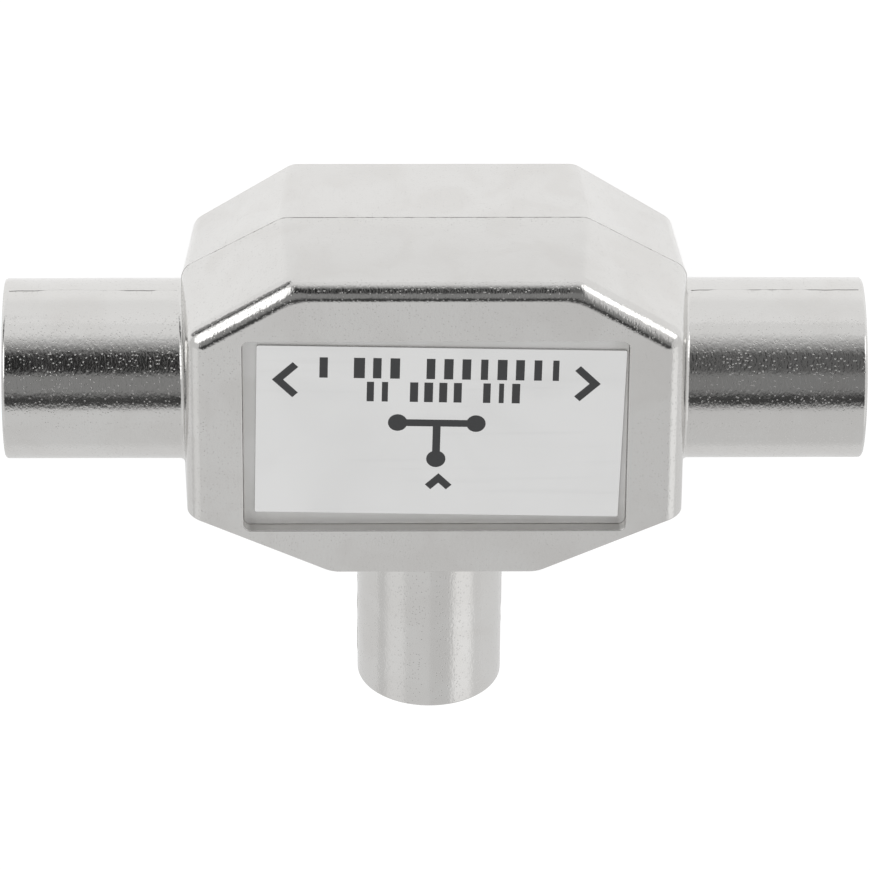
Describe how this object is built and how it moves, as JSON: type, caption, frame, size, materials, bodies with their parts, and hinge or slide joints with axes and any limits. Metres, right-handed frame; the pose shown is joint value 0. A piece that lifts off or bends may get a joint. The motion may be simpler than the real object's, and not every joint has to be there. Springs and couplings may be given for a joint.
{
  "type": "rf power splitter",
  "caption": "T-shaped die-cast coaxial signal splitter: a female socket at each side, a male plug below, and a label recessed in the flat front.",
  "frame": {"origin": "on the flat back, under the point where the axes of the three connectors cross", "axes": "+X towards the right socket, -Y along the plug's axis out of its mouth, +Z out of the labelled front face"},
  "size_m": [0.0556, 0.0347, 0.0167],
  "materials": {
    "nickel_plating": "bright nickel plating on a zinc die casting, with fine pits and a rough mould line",
    "lid_metal": "bright nickel plating on a pressed plate",
    "label_foil": "finely brushed silver foil with dark grey print",
    "insulator": "satin off-white polythene",
    "contact_metal": "nickel-plated turned brass",
    "solder": "satin grey solder",
    "board": "matte tan laminate",
    "ferrite": "matte dark grey ferrite",
    "enamelled_wire": "glossy enamelled copper wire",
    "resistor_lacquer": "satin tan lacquer",
    "capacitor_ceramic": "satin orange-brown dipped ceramic"
  },
  "bodies": {
    "root": {"housing": "nickel_plating", "cover_plate": "lid_metal", "label_plate": "label_foil", "left_socket_insulator": "insulator", "right_socket_insulator": "insulator", "plug_insulator": "insulator", "left_socket_contact": "contact_metal", "right_socket_contact": "contact_metal", "plug_pin": "contact_metal", "left_socket_solder_joint": "solder", "right_socket_solder_joint": "solder", "plug_solder_joint": "solder", "ground_solder_joint": "solder", "circuit_board": "board", "matching_core": "ferrite", "splitting_core": "ferrite", "matching_winding": "enamelled_wire", "splitting_winding": "enamelled_wire", "balance_resistor": "resistor_lacquer", "input_capacitor": "capacitor_ceramic", "left_output_capacitor": "capacitor_ceramic", "right_output_capacitor": "capacitor_ceramic"}
  },
  "joints": []
}
